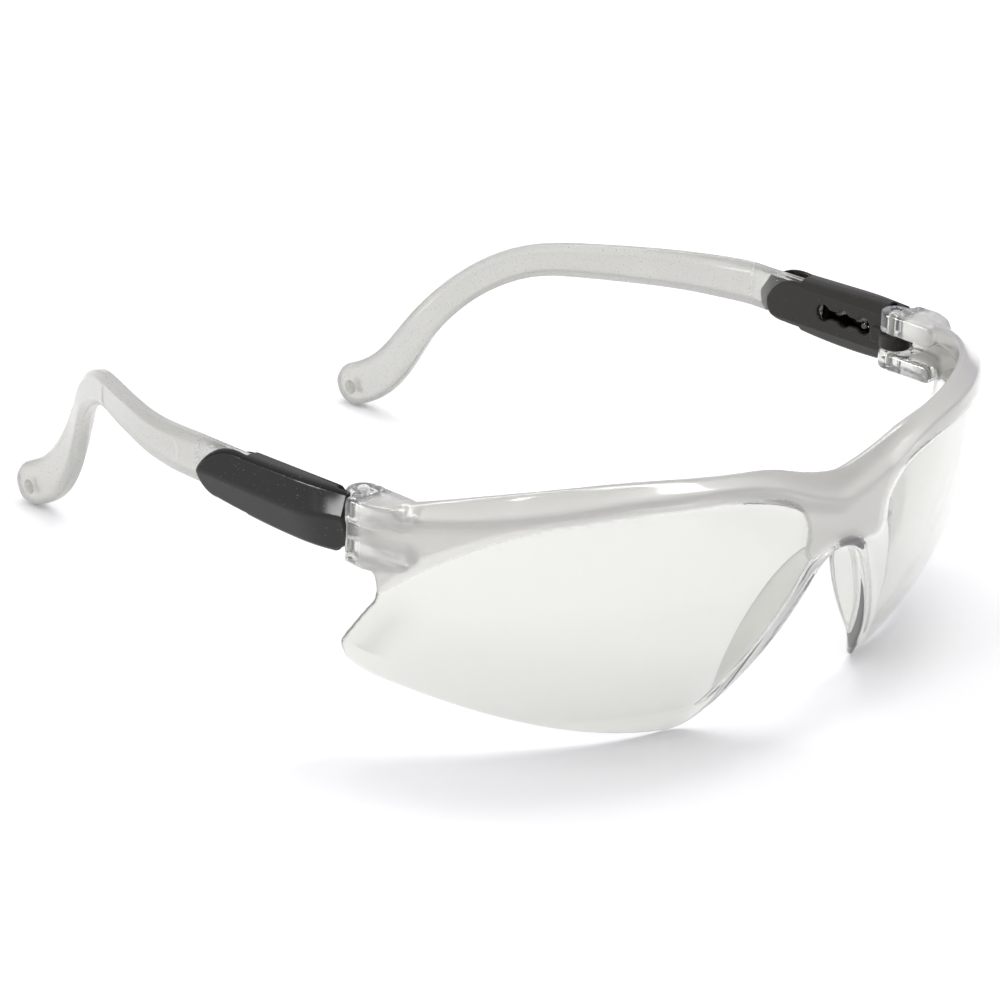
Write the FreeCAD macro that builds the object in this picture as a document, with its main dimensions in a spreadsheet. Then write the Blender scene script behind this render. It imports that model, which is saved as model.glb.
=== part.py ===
import FreeCAD, Part
import math
import os

from FreeCAD import Placement, Rotation, Vector

# Wrap-around safety glasses, in millimetres.  The origin is at the middle of the
# surface the glasses stand on; +X is the wearer's left, +Y runs back along the
# temples and +Z is up.  The pieces are drawn with the lens's foremost point at
# y = 0, and then each is placed half the overall length further forward.

DIMENSIONS = {
    # one-piece front: a shell between two balls joined by a short cylinder
    "lens_radius": 66.5,
    "lens_thickness": 2.2,
    "lens_offset": 9.7,
    "lens_height": 41.4,
    "front_half_width": 70.8,
    "half_length": 83.1,
    "brow_depth": 4.4,
    # flat side plate that carries the hinge
    "plate_thickness": 1.8,
    "plate_front": 37.0,
    "plate_end": 45.2,
    "plate_bottom": 34.4,
    "plate_top": 44.4,
    # nose opening
    "nose_arch_radius": 6.3,
    "nose_arch_height": 24.9,
    "nose_leg_angle": 28.5,
    "nose_wall": 1.9,
    # hinge
    "pin_across": 65.8,
    "pin_back": 46.2,
    "pin_radius": 1.0,
    "pin_bottom": 34.9,
    "pin_length": 10.3,
    "lug_radius": 2.9,
    "lug_low_bottom": 34.4,
    "lug_low_top": 37.9,
    "lug_high_bottom": 41.2,
    "lug_high_top": 45.4,
    "lug_reach": 10.9,
    "pin_press": 0.02,
    "pin_clearance": 0.05,
    "gap": 0.3,
    # sleeve
    "sleeve_inner": 66.0,
    "sleeve_outer": 71.4,
    "sleeve_front": 45.6,
    "sleeve_wall_end": 70.0,
    "cavity_front": 51.8,
    "cavity_inner": 66.8,
    "cavity_outer": 69.6,
    "slot_front": 54.1,
    "slot_height": 39.9,
    "slot_pitch": 4.8,
    "slot_lobe_radius": 1.55,
    "slot_neck": 1.7,
    "slot_depth": 2.0,
    "knuckle_offset": 2.0,
    # arm
    "arm_front": 52.3,
    "arm_bottom": 36.0,
    "arm_top": 44.2,
    "arm_clearance": 0.1,
    "peg_radius": 0.75,
    "cord_hole_radius": 1.0,
    # tools that cut or trim right through: where they start and how far they run
    "trim_start": -5.0,
    "trim_length": 60.0,
    "bore_start": 25.0,
    "bore_length": 30.0,
}

doc = FreeCAD.newDocument("SafetyGlasses")
sheet = doc.addObject("Spreadsheet::Sheet", "Dims")
for row, (alias, size) in enumerate(DIMENSIONS.items(), start=1):
    sheet.set(f"A{row}", alias)
    sheet.set(f"B{row}", str(size))
    sheet.setAlias(f"B{row}", alias)
doc.recompute()


def dim(alias):
    """One driving dimension, read back from the sheet."""
    return float(sheet.get(alias))


def bind(item, **sizes):
    """Tie an object's properties to expressions on the sheet's aliases."""
    for prop, expression in sizes.items():
        item.setExpression(prop, expression)
    return item


def combine(kind, name, parts):
    """A fuse or a common of several objects."""
    item = doc.addObject(kind, name)
    item.Shapes = parts
    return item


def cut(name, base, tool):
    """One object less another."""
    item = doc.addObject("Part::Cut", name)
    item.Base = base
    item.Tool = tool
    return item


def mirrored(name, source):
    """The same piece on the other side of the nose."""
    item = doc.addObject("Part::Mirroring", name)
    item.Source = source
    item.Base = Vector(0, 0, 0)
    item.Normal = Vector(1, 0, 0)
    return item


# Sketch planes: each sketch's own x and y become these directions.
FRONT_PLANE = Rotation(Vector(1, 0, 0), Vector(0, 0, 1), Vector(0, -1, 0), "ZXY")
SIDE_PLANE = Rotation(Vector(0, 1, 0), Vector(0, 0, 1), Vector(1, 0, 0), "ZXY")


def outline(name, curves, rotation, origin=Vector(0, 0, 0)):
    """A sketch of joined lines and arcs standing on its own plane."""
    sketch = doc.addObject("Sketcher::SketchObject", name)
    for curve in curves:
        sketch.addGeometry(curve, False)
    sketch.Placement = Placement(origin, rotation)
    return sketch


def line(start, end):
    return Part.LineSegment(Vector(*start, 0), Vector(*end, 0))


def arc(start, middle, end):
    return Part.Arc(Vector(*start, 0), Vector(*middle, 0), Vector(*end, 0))


def polygon(points):
    """Lines joining the points and back to the first."""
    return [line(a, b) for a, b in zip(points, points[1:] + points[:1])]


def prism(name, sketch, along, start, length):
    """A sketch extruded along one axis, from a place given by an expression."""
    item = doc.addObject("Part::Extrusion", name)
    item.Base = sketch
    item.DirMode = "Custom"
    item.Dir = Vector(*[1.0 if axis == along else 0.0 for axis in "xyz"])
    item.Solid = True
    bind(item, LengthFwd=length)
    bind(sketch, **{f"Placement.Base.{along}": start})
    return item


def cylinder(name, radius, height, place):
    item = doc.addObject("Part::Cylinder", name)
    bind(item, Radius=radius, Height=height)
    bind(item, **{f"Placement.Base.{axis}": value for axis, value in place.items()})
    return item


def box(name, sizes, place):
    item = doc.addObject("Part::Box", name)
    bind(item, Length=sizes[0], Width=sizes[1], Height=sizes[2])
    for axis, value in zip("xyz", place):
        bind(item, **{f"Placement.Base.{axis}": value})
    return item


# ---------------------------------------------------------------- front piece

def capsule(name, radius):
    """Two balls and the cylinder between them: the lens's curved surface."""
    balls = []
    for side, across in (("Right", "-Dims.lens_offset"), ("Left", "Dims.lens_offset")):
        ball = doc.addObject("Part::Sphere", f"{name}{side}")
        bind(ball, Radius=radius)
        ball.Angle1, ball.Angle2, ball.Angle3 = -90, 90, 360
        place = {"Placement.Base.x": across, "Placement.Base.y": "Dims.lens_radius",
                 "Placement.Base.z": "Dims.lens_height"}
        bind(ball, **place)
        balls.append(ball)
    middle = doc.addObject("Part::Cylinder", f"{name}Middle")
    middle.Placement.Rotation = Rotation(Vector(0, 1, 0), 90)
    bind(middle, Radius=radius, Height="2 * Dims.lens_offset")
    bind(middle, **{"Placement.Base.x": "-Dims.lens_offset",
                    "Placement.Base.y": "Dims.lens_radius",
                    "Placement.Base.z": "Dims.lens_height"})
    return combine("Part::MultiFuse", name, balls + [middle])


# Brow bar: angle round the lens, height of the front crease, height of the top.
BROW_STATIONS = [
    (-9.7, 39.7, 44.2),
    (-5.0, 41.1, 45.2),
    (0.0, 43.0, 46.6),
    (5.0, 45.4, 48.3),
    (12.0, 47.6, 49.3),
    (20.0, 48.1, 49.9),
    (30.0, 47.9, 50.3),
    (40.0, 46.6, 49.6),
    (50.0, 45.2, 48.2),
    (58.0, 44.3, 46.6),
    (66.0, 43.6, 45.1),
    (74.0, 43.2, 44.5),
]
BROW_FACE = 2.6
BEVEL_DEPTH = 3.6


def brow_place(station, inward=0.0):
    """Where a brow station lies in plan: along the flat middle, then by angle."""
    radius = dim("lens_radius") - inward
    if station < 0:
        return dim("lens_offset") + station, dim("lens_radius") - radius
    angle = math.radians(station)
    return (dim("lens_offset") + radius * math.sin(angle),
            dim("lens_radius") - radius * math.cos(angle))


# Lens edge seen from the front, wearer's left half, from the nose outwards.
LENS_INNER_TIP = (19.2, 2.6)
LENS_LOW = (24.4, 0.0)
LENS_SWEEP = (45.2, 4.4)
LENS_CORNER = (64.4, 12.7)
LENS_REAR_TIP = (69.9, 20.4)
LENS_FILLED_LOW = 2.6
LENS_FILLED_SIDE = 24.0
LENS_IN_BROW = 1.0


def lens_outline():
    """Front view of the lens with the nose side still filled in."""
    top = [(brow_place(station)[0], crease - LENS_IN_BROW)
           for station, crease, _ in BROW_STATIONS]
    edge = top[-1][0]
    curves = []
    for side in (1, -1):
        def at(point):
            return (side * point[0], point[1])
        curves += [
            line(at((0, LENS_FILLED_LOW)), at(LENS_INNER_TIP)),
            arc(at(LENS_INNER_TIP), at((21.4, 0.65)), at(LENS_LOW)),
            arc(at(LENS_LOW), at(LENS_SWEEP), at(LENS_CORNER)),
            arc(at(LENS_CORNER), at((67.9, 16.0)), at(LENS_REAR_TIP)),
            line(at(LENS_REAR_TIP), at((edge, LENS_FILLED_SIDE))),
            line(at((edge, LENS_FILLED_SIDE)), at(top[-1])),
        ]
        curves += [line(at(a), at(b)) for a, b in zip(top, top[1:])]
    return curves


def side_outline():
    """Side view of the front: lens tip, notch under the hinge, plate end."""
    end, bottom = dim("plate_end"), dim("plate_bottom")
    return [
        line((-5, -1), (48.6, -1)),
        line((48.6, -1), (47.9, 17.2)),
        arc((47.9, 17.2), (47.7, 19.1), (46.7, 20.6)),
        line((46.7, 20.6), (40.6, 28.2)),
        arc((40.6, 28.2), (39.3, 31.1), (39.8, 34.2)),
        line((39.8, 34.2), (end, bottom)),
        line((end, bottom), (end, 52)),
        line((end, 52), (-5, 52)),
        line((-5, 52), (-5, -1)),
    ]


def brow_wire(name, station, crease, top, side):
    """One cross-section of the brow bar, square to the lens."""
    slope = (top - crease) / BEVEL_DEPTH
    depth = dim("brow_depth")
    low = crease - BROW_FACE
    points = [(-1, low), (-1, crease - slope), (BEVEL_DEPTH, top), (depth, top - 0.6),
              (depth, low + 1.0), (1.2, low)]
    corners = []
    for inward, height in points:
        across, back = brow_place(station, inward)
        corners.append(Vector(side * across, back, height))
    wire = doc.addObject("Part::Feature", name)
    wire.Shape = Part.makePolygon(corners + corners[:1])
    return wire


def brow():
    """The thick bar over both windows, lofted from ear to ear."""
    wires = []
    for number, (station, crease, top) in enumerate(reversed(BROW_STATIONS)):
        wires.append(brow_wire(f"BrowRight{number}", station, crease, top, -1))
    for number, (station, crease, top) in enumerate(BROW_STATIONS[1:]):
        wires.append(brow_wire(f"BrowLeft{number}", station, crease, top, 1))
    bar = doc.addObject("Part::Loft", "BrowBar")
    bar.Sections = wires
    bar.Solid = True
    bar.Ruled = False
    return bar


def nose_outline(grow):
    """The nose opening, a round arch on two splayed legs, grown all round."""
    angle = math.radians(dim("nose_leg_angle"))
    radius = dim("nose_arch_radius") + grow
    centre = dim("nose_arch_height")
    shoulder = (radius * math.cos(angle), centre + radius * math.sin(angle))
    foot_height = -6.0
    run = (shoulder[1] - foot_height) * math.tan(angle)
    foot = (shoulder[0] + run, foot_height)
    return [
        line((-foot[0], foot[1]), (-shoulder[0], shoulder[1])),
        arc((-shoulder[0], shoulder[1]), (0, centre + radius), shoulder),
        line(shoulder, foot),
        line(foot, (-foot[0], foot[1])),
    ]


def nose_prism(name, grow):
    """The nose opening, grown all round, as a solid from front to back."""
    return prism(name, outline(f"{name}Outline", nose_outline(grow), FRONT_PLANE),
                 "y", "Dims.trim_start", "Dims.trim_length")


def flange_limit():
    """Side view of the nose flange: how far it reaches towards the face."""
    return [
        line((-5, 36), (-5, 0)),
        line((-5, 0), (12.6, 0)),
        arc((12.6, 0), (13.4, 11.0), (11.2, 22.5)),
        arc((11.2, 22.5), (8.9, 28.0), (5.8, 32.5)),
        line((5.8, 32.5), (5.0, 36)),
        line((5.0, 36), (-5, 36)),
    ]


def hinge_lug(name, bottom, top):
    """One side's lug: a round end on the pin and a rib running forward."""
    height = f"Dims.{top} - Dims.{bottom}"
    barrel = cylinder(f"{name}Barrel", "Dims.lug_radius", height,
                      {"x": "Dims.pin_across", "y": "Dims.pin_back", "z": f"Dims.{bottom}"})
    low, high, end = dim(bottom), dim(top), dim("plate_end")
    middle = (low + high) / 2
    front = dim("pin_back") - dim("lug_reach")
    nose = (high - low) / 2
    rib_face = outline(f"{name}Side", [
        line((end, low), (front + nose, low)),
        arc((front + nose, low), (front, middle), (front + nose, high)),
        line((front + nose, high), (end, high)),
        line((end, high), (end, low)),
    ], SIDE_PLANE)
    rib = prism(f"{name}Rib", rib_face, "x", "Dims.pin_across - Dims.lug_radius",
                "Dims.front_half_width - Dims.pin_across + Dims.lug_radius")
    return combine("Part::MultiFuse", name, [barrel, rib])


def build_front():
    outer = capsule("LensOuter", "Dims.lens_radius")
    inner = capsule("LensInner", "Dims.lens_radius - Dims.lens_thickness")
    shell = cut("LensShell", outer, inner)
    face = prism("LensFace", outline("LensOutline", lens_outline(), FRONT_PLANE),
                 "y", "Dims.trim_start", "Dims.trim_length")
    side = prism("FrontSide", outline("SideOutline", side_outline(), SIDE_PLANE),
                 "x", "-Dims.front_half_width", "2 * Dims.front_half_width")
    lens = combine("Part::MultiCommon", "Lens", [shell, face, side])

    bar = combine("Part::MultiCommon", "Brow", [outer, brow(), side])

    nose_gap = nose_prism("NoseGap", 0.0)
    nose_wall = nose_prism("NoseWall", dim("nose_wall"))
    reach = prism("FlangeReach", outline("FlangeLimit", flange_limit(), SIDE_PLANE),
                  "x", "-Dims.trim_length / 2", "Dims.trim_length")
    flange = combine("Part::MultiCommon", "NoseFlange", [nose_wall, outer, reach])

    hinge_parts = []
    for name, bottom, top in (("LowLug", "lug_low_bottom", "lug_low_top"),
                              ("HighLug", "lug_high_bottom", "lug_high_top")):
        hinge_parts.append(hinge_lug(name, bottom, top))
    hinge_parts.append(box("SidePlate", ("Dims.plate_thickness",
                                         "Dims.plate_end - Dims.plate_front",
                                         "Dims.plate_top - Dims.plate_bottom"),
                           ("Dims.front_half_width - Dims.plate_thickness",
                            "Dims.plate_front", "Dims.plate_bottom")))
    left_hinge = combine("Part::MultiFuse", "HingeSide", hinge_parts)
    both_hinges = combine("Part::MultiFuse", "HingeSides",
                          [left_hinge, mirrored("HingeSideMirror", left_hinge)])
    hinges = combine("Part::MultiCommon", "Hinges", [both_hinges, outer])

    whole = combine("Part::MultiFuse", "FrontWhole", [lens, bar, flange, hinges])
    opened = cut("FrontOpened", whole, nose_gap)
    bore = cylinder("PinBore", "Dims.pin_radius + Dims.pin_press", "Dims.bore_length",
                    {"x": "Dims.pin_across", "y": "Dims.pin_back", "z": "Dims.pin_bottom"})
    bores = combine("Part::MultiFuse", "PinBores", [bore, mirrored("PinBoreMirror", bore)])
    front = cut("Front", opened, bores)
    front.Refine = True
    return front


# ------------------------------------------------------------- temple sleeves

OUTER_CHEEK_TIP = 81.4
INNER_CHEEK_TIP = 78.0


def sleeve_side(tip):
    """Side view of one cheek: square at the hinge, a round lobe at the rear."""
    front = dim("sleeve_front")
    return [
        line((front, 38.2), (front, 45.7)),
        line((front, 45.7), (70.5, 44.9)),
        arc((70.5, 44.9), (tip - 3.2, 43.0), (tip, 39.2)),
        arc((tip, 39.2), (tip - 0.8, 36.5), (tip - 4.4, 34.9)),
        arc((tip - 4.4, 34.9), (62.0, 33.7), (front + 4.4, 34.0)),
        arc((front + 4.4, 34.0), (front + 1.4, 35.2), (front, 38.2)),
    ]


def sleeve_section():
    """Cross-section of a sleeve: flat inside, three facets outside."""
    inner, outer = dim("sleeve_inner"), dim("sleeve_outer")
    return polygon([
        (inner + 1.9, 33.2), (inner, 36.3), (inner, 44.3), (inner + 1.4, 45.6),
        (outer - 2.1, 46.0), (outer - 0.9, 45.0), (outer, 39.6), (outer - 1.9, 33.2),
    ])


def slot_cutter():
    """Three round lobes joined by a narrow neck, through the inner wall."""
    parts = []
    for number in range(3):
        lobe = doc.addObject("Part::Cylinder", f"SlotLobe{number}")
        lobe.Placement.Rotation = Rotation(Vector(0, 1, 0), 90)
        bind(lobe, Radius="Dims.slot_lobe_radius", Height="Dims.slot_depth")
        place = {"Placement.Base.x": "Dims.cavity_inner + Dims.gap - Dims.slot_depth",
                 "Placement.Base.y": f"Dims.slot_front + {number} * Dims.slot_pitch",
                 "Placement.Base.z": "Dims.slot_height"}
        bind(lobe, **place)
        parts.append(lobe)
    parts.append(box("SlotNeck", ("Dims.slot_depth", "2 * Dims.slot_pitch", "Dims.slot_neck"),
                     ("Dims.cavity_inner + Dims.gap - Dims.slot_depth", "Dims.slot_front",
                      "Dims.slot_height - Dims.slot_neck / 2")))
    return combine("Part::MultiFuse", "Slot", parts)


def cross_bore(name, radius, height=None, bottom=None):
    """An upright cylinder on the hinge pin's line."""
    return cylinder(name, radius, height or "Dims.bore_length",
                    {"x": "Dims.pin_across", "y": "Dims.pin_back",
                     "z": bottom or "Dims.bore_start"})


def sleeve_hollow():
    """The space inside a sleeve: the arm's channel, its slot and the lugs' room."""
    width = "Dims.cavity_outer - Dims.cavity_inner"
    channel = box("Channel", (width, "Dims.trim_length",
                              "Dims.arm_top - Dims.arm_bottom + 2 * Dims.arm_clearance"),
                  ("Dims.cavity_inner", "Dims.cavity_front",
                   "Dims.arm_bottom - Dims.arm_clearance"))
    mouth = box("Mouth", (width, "Dims.trim_length", "Dims.bore_length"),
                ("Dims.cavity_inner", "Dims.sleeve_wall_end", "Dims.bore_start"))
    recess = cross_bore("LugRecess", "Dims.lug_radius + Dims.gap")
    corner = box("InnerCorner", ("Dims.lug_radius + Dims.gap - Dims.trim_start",
                                 "Dims.lug_radius + Dims.gap - Dims.trim_start",
                                 "Dims.bore_length"),
                 ("Dims.pin_across + Dims.trim_start", "Dims.pin_back + Dims.trim_start",
                  "Dims.bore_start"))
    return combine("Part::MultiFuse", "SleeveHollow",
                   [channel, mouth, slot_cutter(), recess, corner])


def build_sleeve():
    """One black sleeve: two cheeks, a closed front box and the hinge knuckle."""
    middle = "(Dims.cavity_inner + Dims.cavity_outer) / 2"
    outer_side = prism("OuterCheek",
                       outline("OuterCheekSide", sleeve_side(OUTER_CHEEK_TIP), SIDE_PLANE),
                       "x", middle, f"Dims.sleeve_outer - {middle}")
    inner_side = prism("InnerCheek",
                       outline("InnerCheekSide", sleeve_side(INNER_CHEEK_TIP), SIDE_PLANE),
                       "x", "Dims.sleeve_inner", f"{middle} - Dims.sleeve_inner")
    cheeks = combine("Part::MultiFuse", "Cheeks", [outer_side, inner_side])
    length = prism("SleeveLength", outline("SleeveSection", sleeve_section(), FRONT_PLANE),
                   "y", "Dims.bore_start", "Dims.trim_length")
    block = combine("Part::MultiCommon", "SleeveBlock", [cheeks, length])
    shell = cut("SleeveShell", block, sleeve_hollow())

    knuckle_low = "Dims.lug_low_top + Dims.gap"
    knuckle_tall = "Dims.lug_high_bottom - Dims.lug_low_top - 2 * Dims.gap"
    knuckle = cross_bore("Knuckle", "Dims.lug_radius", knuckle_tall, knuckle_low)
    root = box("KnuckleRoot", ("2 * Dims.lug_radius - Dims.knuckle_offset",
                               "Dims.cavity_front - Dims.pin_back - Dims.gap", knuckle_tall),
               ("Dims.pin_across - Dims.lug_radius + Dims.knuckle_offset", "Dims.pin_back",
                knuckle_low))
    solid = combine("Part::MultiFuse", "SleeveSolid", [shell, knuckle, root])
    sleeve = cut("Sleeve", solid, cross_bore("SleeveBore", "Dims.pin_radius + Dims.pin_clearance"))
    sleeve.Refine = True
    return sleeve


# ---------------------------------------------------------------- temple arms

# The arm behind its sleeve: across, back, up, height and thickness.
ARM_STATIONS = [
    (68.2, 83.0, 40.1, 8.2, 2.6),
    (67.5, 90.0, 39.7, 7.9, 2.9),
    (65.6, 98.5, 39.2, 7.4, 3.1),
    (62.0, 108.0, 38.6, 7.0, 3.3),
    (58.0, 117.0, 37.9, 6.6, 3.4),
    (53.4, 126.6, 36.4, 6.2, 3.4),
    (50.0, 133.5, 33.2, 6.1, 3.4),
    (47.2, 138.6, 29.3, 6.0, 3.4),
    (44.8, 142.6, 25.0, 6.1, 3.5),
    (43.1, 146.0, 20.4, 6.3, 3.6),
    (41.9, 150.0, 14.2, 7.1, 3.8),
    (41.2, 154.2, 9.1, 8.0, 4.0),
    (40.8, 158.0, 6.2, 8.5, 4.1),
    (40.6, 161.0, 4.6, 8.6, 4.1),
]
BULB_CENTRE = (40.6, 161.9, 4.3)
BULB_RADIUS = 4.3
BULB_THICKNESS = 4.2
BULB_ROUNDING = 1.4
CORD_HOLE = (161.7, 3.9)
PEG_LENGTH = 2.0
PIN_CHAMFER = 0.2


def octagon(height, thickness):
    """A tall section with bevelled corners: across and up from its middle."""
    half_t, half_h = thickness / 2, height / 2
    flat_t, flat_h = 0.45 * half_t, 0.58 * half_h
    outer_top = half_h - 0.4
    inner_low = 0.6 - half_h
    return [(half_t, -flat_h), (half_t, flat_h - 0.4), (flat_t, outer_top), (-flat_t, half_h),
            (-half_t, flat_h), (-half_t, 0.6 - flat_h), (-flat_t, inner_low), (flat_t, -half_h)]


def arm_wire(name, number):
    """The arm's section at one station, square to its run there."""
    place = Vector(*ARM_STATIONS[number][:3])
    before = Vector(*ARM_STATIONS[max(number - 1, 0)][:3])
    after = Vector(*ARM_STATIONS[min(number + 1, len(ARM_STATIONS) - 1)][:3])
    run = (after - before).normalize() if number else Vector(0, 1, 0)
    aside = run.cross(Vector(0, 0, 1)).normalize()
    up = aside.cross(run)
    height, thickness = ARM_STATIONS[number][3:]
    corners = [place + aside * a + up * b for a, b in octagon(height, thickness)]
    wire = doc.addObject("Part::Feature", name)
    wire.Shape = Part.makePolygon(corners + corners[:1])
    return wire


def build_arm():
    loft = doc.addObject("Part::Loft", "ArmRun")
    loft.Sections = [arm_wire(f"ArmSection{n}", n) for n in range(len(ARM_STATIONS))]
    loft.Solid = True
    loft.Ruled = False

    middle_x, _, middle_z, height, thickness = ARM_STATIONS[0]
    section = outline("TongueSection", polygon(octagon(height, thickness)), FRONT_PLANE,
                      Vector(middle_x, 0, middle_z))
    tongue = prism("Tongue", section, "y", "Dims.arm_front",
                   f"{ARM_STATIONS[0][1]} - Dims.arm_front")

    bulb = doc.addObject("Part::Cylinder", "Bulb")
    bulb.Radius = BULB_RADIUS
    bulb.Height = BULB_THICKNESS
    across, back, up = BULB_CENTRE
    bulb.Placement = Placement(Vector(across - BULB_THICKNESS / 2, back, up),
                               Rotation(Vector(0, 1, 0), 90))
    rounded = doc.addObject("Part::Fillet", "BulbRounded")
    rounded.Base = bulb
    rounded.Edges = [(rim, BULB_ROUNDING, BULB_ROUNDING) for rim in (1, 3)]

    peg = doc.addObject("Part::Cylinder", "Peg")
    peg.Placement.Rotation = Rotation(Vector(0, 1, 0), 90)
    bind(peg, Radius="Dims.peg_radius", Height=f"{PEG_LENGTH}")
    bind(peg, **{"Placement.Base.x": "Dims.sleeve_inner + Dims.gap",
                 "Placement.Base.y": "Dims.slot_front",
                 "Placement.Base.z": "Dims.slot_height"})

    solid = combine("Part::MultiFuse", "ArmSolid", [tongue, loft, rounded, peg])
    hole = doc.addObject("Part::Cylinder", "CordHole")
    hole.Placement = Placement(Vector(across - BULB_THICKNESS, *CORD_HOLE),
                               Rotation(Vector(0, 1, 0), 90))
    bind(hole, Radius="Dims.cord_hole_radius", Height=f"{2 * BULB_THICKNESS}")
    return cut("Arm", solid, hole)


def build_pin():
    """One hinge pin with chamfered ends, held by the front's two lugs."""
    pin = doc.addObject("Part::Chamfer", "Pin")
    pin.Base = cross_bore("PinShank", "Dims.pin_radius", "Dims.pin_length", "Dims.pin_bottom")
    pin.Edges = [(rim, PIN_CHAMFER, PIN_CHAMFER) for rim in (1, 3)]
    return pin


# -------------------------------------------------------------------- assembly

def finished(item, name):
    """Name a piece and move it into the frame centred on the glasses."""
    item.Label = name
    return bind(item, **{"Placement.Base.y": "-Dims.half_length"})


pieces = [finished(build_front(), "lens_shield")]
for builder, name in ((build_sleeve, "sleeve"), (build_arm, "arm"), (build_pin, "hinge_pin")):
    left = finished(builder(), f"left_{name}")
    right = mirrored(f"{left.Name}Mirror", left)
    right.Label = f"right_{name}"
    pieces += [left, right]
doc.recompute()

for item in doc.Objects:
    if "Invalid" in item.State or "Error" in item.State:
        raise SystemExit(f"{item.Name} did not build: {item.State}")
os.makedirs("parts", exist_ok=True)
for piece in pieces:
    if piece.Shape.isNull() or not piece.Shape.isValid():
        raise SystemExit(f"{piece.Label} has no valid shape")
    if len(piece.Shape.Solids) != 1:
        raise SystemExit(f"{piece.Label} is {len(piece.Shape.Solids)} solids")
for piece in pieces:
    piece.Shape.exportStep(f"parts/{piece.Label}.step")
    limits = piece.Shape.BoundBox
    print(f"{piece.Label:16s} {piece.Shape.Volume:9.1f} mm3  "
          f"{limits.XMin:7.2f}..{limits.XMax:7.2f}  {limits.YMin:7.2f}..{limits.YMax:7.2f}  "
          f"{limits.ZMin:7.2f}..{limits.ZMax:7.2f}")
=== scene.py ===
import math

import bpy
import numpy as np
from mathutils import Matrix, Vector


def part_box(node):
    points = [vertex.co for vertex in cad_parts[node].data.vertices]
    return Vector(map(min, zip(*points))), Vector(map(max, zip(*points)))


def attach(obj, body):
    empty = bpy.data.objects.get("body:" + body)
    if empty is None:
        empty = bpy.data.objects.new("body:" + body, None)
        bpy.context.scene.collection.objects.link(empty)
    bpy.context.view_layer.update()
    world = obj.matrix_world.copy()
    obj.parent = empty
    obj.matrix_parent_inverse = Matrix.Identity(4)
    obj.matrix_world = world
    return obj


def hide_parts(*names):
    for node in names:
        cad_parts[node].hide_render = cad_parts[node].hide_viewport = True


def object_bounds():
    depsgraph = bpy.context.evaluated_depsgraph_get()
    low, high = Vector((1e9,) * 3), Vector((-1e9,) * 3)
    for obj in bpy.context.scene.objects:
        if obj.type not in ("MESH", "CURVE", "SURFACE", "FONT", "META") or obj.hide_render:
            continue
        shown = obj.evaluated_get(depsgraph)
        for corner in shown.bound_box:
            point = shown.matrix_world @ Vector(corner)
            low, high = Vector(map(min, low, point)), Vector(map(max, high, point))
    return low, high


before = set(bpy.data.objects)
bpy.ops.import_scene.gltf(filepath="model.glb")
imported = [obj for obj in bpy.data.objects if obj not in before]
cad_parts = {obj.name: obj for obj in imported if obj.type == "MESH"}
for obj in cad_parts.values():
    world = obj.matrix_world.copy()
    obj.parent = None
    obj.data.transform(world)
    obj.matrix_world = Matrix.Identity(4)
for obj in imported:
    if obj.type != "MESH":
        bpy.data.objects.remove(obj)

import openvdb
from mathutils import Matrix, Vector

# Shapes are worked out in millimetres, with the lens's foremost point at y = 0, and
# put into the frame, in metres, when their meshes are made.  The wearer's left is +x.
MM = 0.001
CAD_LOW, CAD_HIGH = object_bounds()
FRONT = CAD_LOW.y
PIN_LOW, PIN_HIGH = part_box("left_hinge_pin")
PIN_X = (PIN_LOW.x + PIN_HIGH.x) / 2 / MM
PIN_Y = ((PIN_LOW.y + PIN_HIGH.y) / 2 - FRONT) / MM
PIN_RADIUS = (PIN_HIGH.x - PIN_LOW.x) / 2 / MM
PIN_BOTTOM = PIN_LOW.z / MM
PIN_TOP = PIN_HIGH.z / MM
# Lofted and cut pieces have sharp edges where their faces turn by more than this.
SHARP_ANGLE = math.radians(42)


# ------------------------------------------------------------------ curves, solids

def arc_points(start, middle, end, steps=14):
    """Points after the start, along the circle through three points."""
    (ax, ay), (bx, by), (cx, cy) = start, middle, end
    twice = 2 * (ax * (by - cy) + bx * (cy - ay) + cx * (ay - by))
    a2, b2, c2 = ax * ax + ay * ay, bx * bx + by * by, cx * cx + cy * cy
    ox = (a2 * (by - cy) + b2 * (cy - ay) + c2 * (ay - by)) / twice
    oy = (a2 * (cx - bx) + b2 * (ax - cx) + c2 * (bx - ax)) / twice
    radius = math.hypot(ax - ox, ay - oy)
    first = math.atan2(ay - oy, ax - ox)
    half = math.remainder(math.atan2(by - oy, bx - ox) - first, math.tau)
    rest = math.remainder(math.atan2(cy - oy, cx - ox) - first - half, math.tau)
    turn = half + rest
    return [(ox + radius * math.cos(first + turn * n / steps),
             oy + radius * math.sin(first + turn * n / steps)) for n in range(1, steps + 1)]


def trace(start, *moves):
    """A closed outline: each move is a point, or a (middle, end) pair for an arc."""
    points = [start]
    for move in moves:
        if isinstance(move[0], tuple):
            points += arc_points(points[-1], *move)
        else:
            points.append(move)
    return points


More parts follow.
